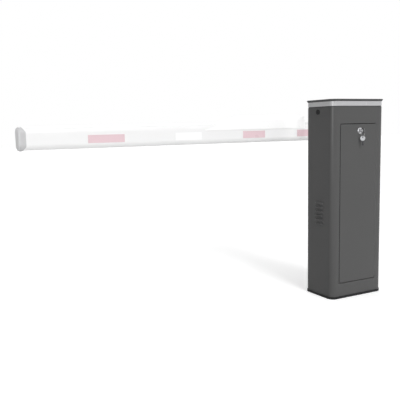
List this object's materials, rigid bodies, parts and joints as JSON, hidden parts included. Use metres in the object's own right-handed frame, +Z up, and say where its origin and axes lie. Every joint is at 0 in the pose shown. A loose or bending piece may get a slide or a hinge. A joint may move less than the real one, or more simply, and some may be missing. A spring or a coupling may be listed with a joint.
{
  "type": "boom barrier",
  "caption": "Slim upright barrier cabinet with a tilting service door, light band and lid, and a straight swinging boom with reflective strips on its back.",
  "frame": {"origin": "centre of the underside of the base plate, on the ground", "axes": "+Z up, -Y out of the door, the boom points along -X when closed and lies on the +Y side"},
  "size_m": [1.7775, 0.351, 1],
  "materials": {
    "black_steel": "powder coated, satin",
    "housing_paint": "fine textured powder coat",
    "lid_paint": "fine textured powder coat",
    "band_plastic": "frosted",
    "black_plastic": "satin",
    "zinc_steel": "zinc plated",
    "cast_aluminium": "sand cast, machined faces",
    "motor_paint": "semi gloss paint",
    "box_plastic": "moulded, satin",
    "lock_chrome": "polished",
    "key_steel": "nickel plated",
    "bright_steel": "ground",
    "boom_white": "white powder coat",
    "cap_plastic": "moulded, satin",
    "foil_red": "reflective foil",
    "foil_white": "reflective foil",
    "cowl_white": "moulded, smooth"
  },
  "bodies": {
    "cabinet": {"base_plate": "black_steel", "foot_bolts": "zinc_steel", "bearing_bolts": "zinc_steel", "housing": "housing_paint", "light_band": "band_plastic", "lid": "lid_paint", "release_lock": "black_plastic", "drive_bracket": "zinc_steel", "gear_unit": "cast_aluminium", "motor": "motor_paint", "control_box": "box_plastic", "control_cover": "box_plastic", "cable_glands": "black_plastic", "shaft_bearing": "cast_aluminium"},
    "door": {"door_panel": "housing_paint", "door_hooks": "zinc_steel", "door_stiffener": "housing_paint", "lock_body": "lock_chrome"},
    "key": {"lock_plug": "lock_chrome", "lock_cam": "zinc_steel", "key": "key_steel"},
    "ring": {"key_ring": "key_steel", "spare_key": "key_steel"},
    "boom": {"output_shaft": "bright_steel", "hub_flange": "zinc_steel", "arm_carrier": "cast_aluminium", "hub_screws": "zinc_steel", "boom_tube": "boom_white", "end_cap": "cap_plastic", "root_cap": "cap_plastic", "clamp_straps": "zinc_steel", "strap_bolts": "zinc_steel", "reflectors_red": "foil_red", "reflectors_white": "foil_white", "boom_cowl": "cowl_white"}
  },
  "joints": [
    {"name": "boom_swing", "type": "hinge", "parent": "cabinet", "child": "boom", "pos_m": [0, 0.128, 0.8435], "axis": [0, 1, 0], "range_deg": [0, 90]},
    {"name": "door_tilt", "type": "hinge", "parent": "cabinet", "child": "door", "pos_m": [0, -0.104, 0.08], "axis": [1, 0, 0], "range_deg": [0, 30]},
    {"name": "key_turn", "type": "hinge", "parent": "door", "child": "key", "pos_m": [0.006, -0.108, 0.8435], "axis": [0, 1, 0], "range_deg": [0, 90]},
    {"name": "ring_hang", "type": "hinge", "parent": "key", "child": "ring", "pos_m": [0.006, -0.126, 0.8325], "axis": [0, 1, 0], "range_deg": [-90, 0]}
  ],
  "couplings": [
    {"joint": "ring_hang", "follows": "key_turn", "ratio": -1}
  ]
}
